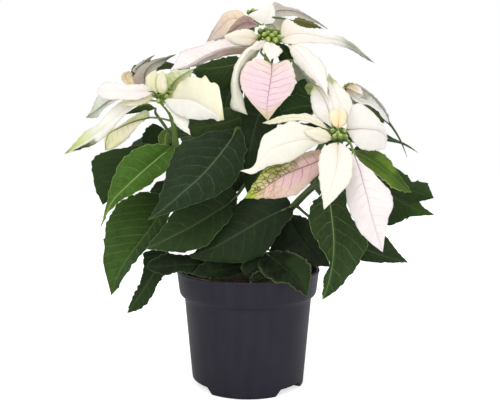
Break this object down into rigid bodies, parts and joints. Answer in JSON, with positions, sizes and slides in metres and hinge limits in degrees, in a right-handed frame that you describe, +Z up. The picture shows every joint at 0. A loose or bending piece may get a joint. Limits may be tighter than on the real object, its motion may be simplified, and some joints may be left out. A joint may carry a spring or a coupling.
{
  "type": "potted poinsettia",
  "caption": "Bushy potted poinsettia with cream and pink bract heads over dark green leaves, in a round tapered nursery pot.",
  "frame": {"origin": "on the pot's axis, on the plane that the pot's feet stand on", "axes": "+Z up along the pot's axis; -Y is the front, the side that carries the pink heart-shaped bract and the large right flower head; +X is to the right seen from the front"},
  "size_m": [0.3252, 0.3054, 0.358],
  "materials": {
    "bract_blush": "white bract with a pink cast and darker pink veins",
    "bract_cream": "yellow-cream bract, matte",
    "bract_lime": "cream bract with a lime tip",
    "bract_mottled": "pink bract mottled with lime green towards its tip",
    "bract_pink": "soft pink bract with darker pink veins",
    "bract_underside": "bract seen mostly from its grey-beige underside",
    "bract_white": "cream white bract, matte, fine veins",
    "flower_centre": "small green cyathia with yellow tips and their smallest cream bracts",
    "leaf_bright": "bright green young leaf, satin",
    "leaf_dark": "dark green leaf, satin, with pale veins",
    "leaf_green": "mid green leaf, satin, with pale veins",
    "pot": "charcoal moulded plastic, satin with soft upright streaks",
    "soil": "moist brown-black peat potting soil, crumbly",
    "stem": "fresh green stem, woody and paler near the soil"
  },
  "bodies": {
    "root": {"pot": "pot", "stem_main": "stem", "stem_left": "stem", "stem_right": "stem", "stem_rear": "stem", "stem_back": "stem", "soil": "soil", "flower_top": "flower_centre", "flower_back": "flower_centre", "flower_right": "flower_centre", "flower_left": "flower_centre", "flower_rear": "flower_centre", "twig_inner": "leaf_dark", "twig_low": "leaf_dark", "twig_far_right": "leaf_dark", "twig_back_left": "leaf_dark", "twig_back_right": "leaf_dark", "bract_top_heart": "bract_pink", "bract_top_front_left": "bract_white", "bract_top_front_right": "bract_white", "bract_top_left_long": "bract_blush", "bract_top_rear_left": "bract_blush", "bract_top_sail": "bract_cream", "bract_top_rear_right": "bract_underside", "bract_top_right": "bract_white", "bract_right_long_left": "bract_white", "bract_right_edge_on": "bract_white", "bract_right_up_left": "bract_lime", "bract_right_up": "bract_white", "bract_right_side": "bract_blush", "bract_right_down": "bract_white", "bract_right_pink_veined": "bract_blush", "bract_right_mottled": "bract_mottled", "bract_left_large": "bract_cream", "bract_left_drooping": "bract_white", "bract_left_grey_arch": "bract_underside", "bract_left_wide": "bract_blush", "bract_left_grey_droop": "bract_underside", "bract_left_long_lime": "bract_lime", "bract_left_under_pink": "bract_underside", "bract_rear_long": "bract_underside", "bract_rear_pale": "bract_white", "bract_rear_thin": "bract_underside", "leaf_left_bright": "leaf_bright", "leaf_far_left": "leaf_dark", "leaf_left_upper_dark": "leaf_dark", "leaf_centre_large": "leaf_dark", "leaf_left_lower": "leaf_green", "leaf_centre_mid": "leaf_dark", "leaf_centre_low": "leaf_dark", "leaf_low_left": "leaf_dark", "leaf_rim_left": "leaf_dark", "leaf_right_front": "leaf_green", "leaf_right_low": "leaf_dark", "leaf_right_bright": "leaf_bright", "leaf_rim_right": "leaf_green", "leaf_top_left_dark": "leaf_dark", "leaf_upper_left": "leaf_green", "leaf_inner_dark": "leaf_dark", "leaf_left_inner": "leaf_dark"}
  },
  "joints": []
}
